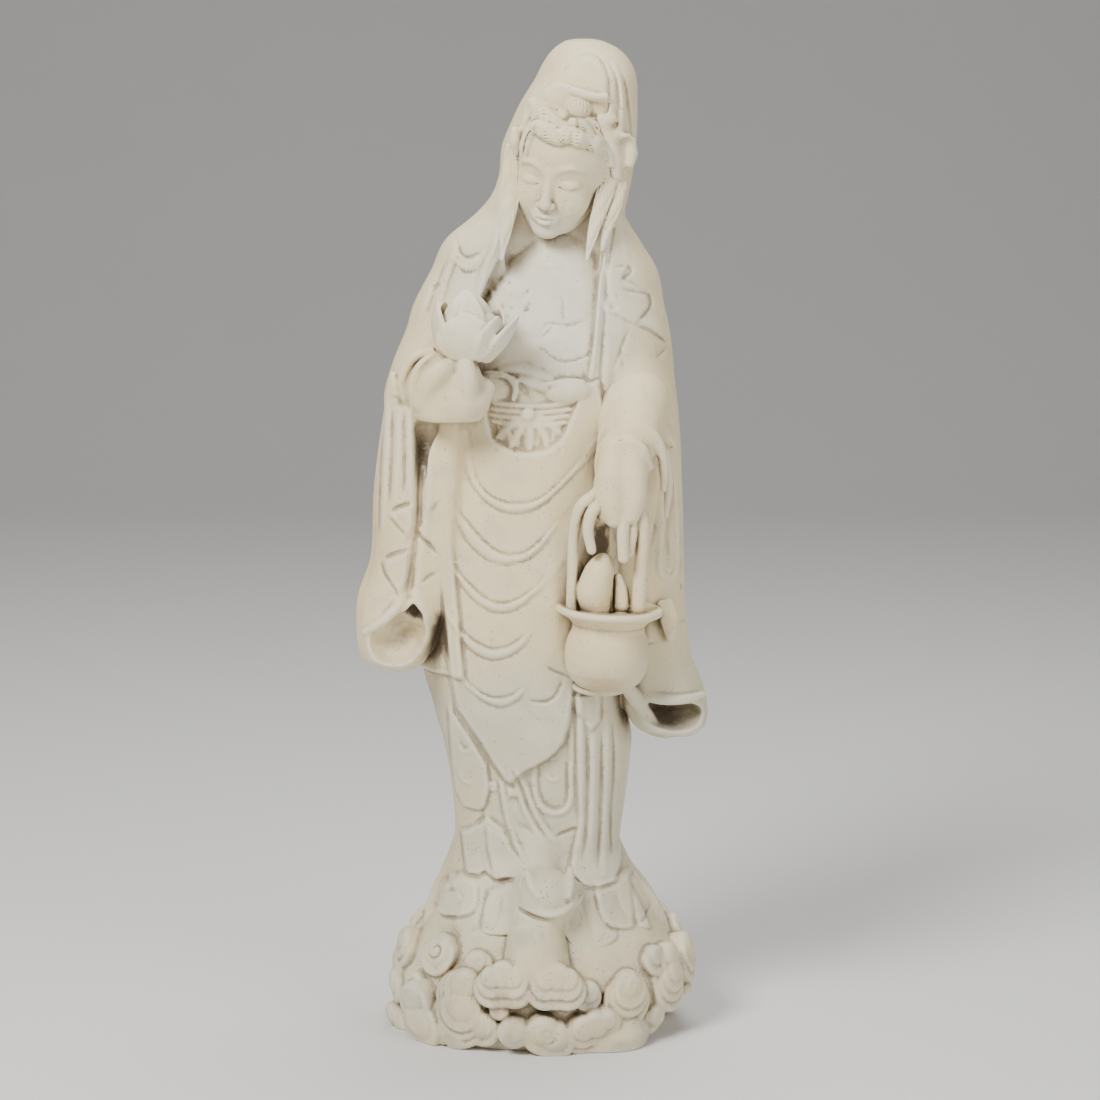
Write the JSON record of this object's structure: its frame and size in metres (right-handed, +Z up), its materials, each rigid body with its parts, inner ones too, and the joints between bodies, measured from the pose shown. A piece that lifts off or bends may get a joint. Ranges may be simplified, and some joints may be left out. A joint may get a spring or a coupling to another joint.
{
  "type": "guanyin statue",
  "caption": "Standing veiled figure of carved white marble holding a lotus and a pail, on a base of scrolled clouds.",
  "frame": {"origin": "on the ground, at the middle of the flat underside", "axes": "+Z up along the figure, -Y the way the figure faces, +X to the viewer's right"},
  "size_m": [0.315, 0.2508, 0.9],
  "materials": {
    "marble": "honed white marble with a warm cream tone, soft sheen, brown dirt in the deep hollows"
  },
  "bodies": {
    "root": {"guanyin_statue": "marble"}
  },
  "joints": []
}
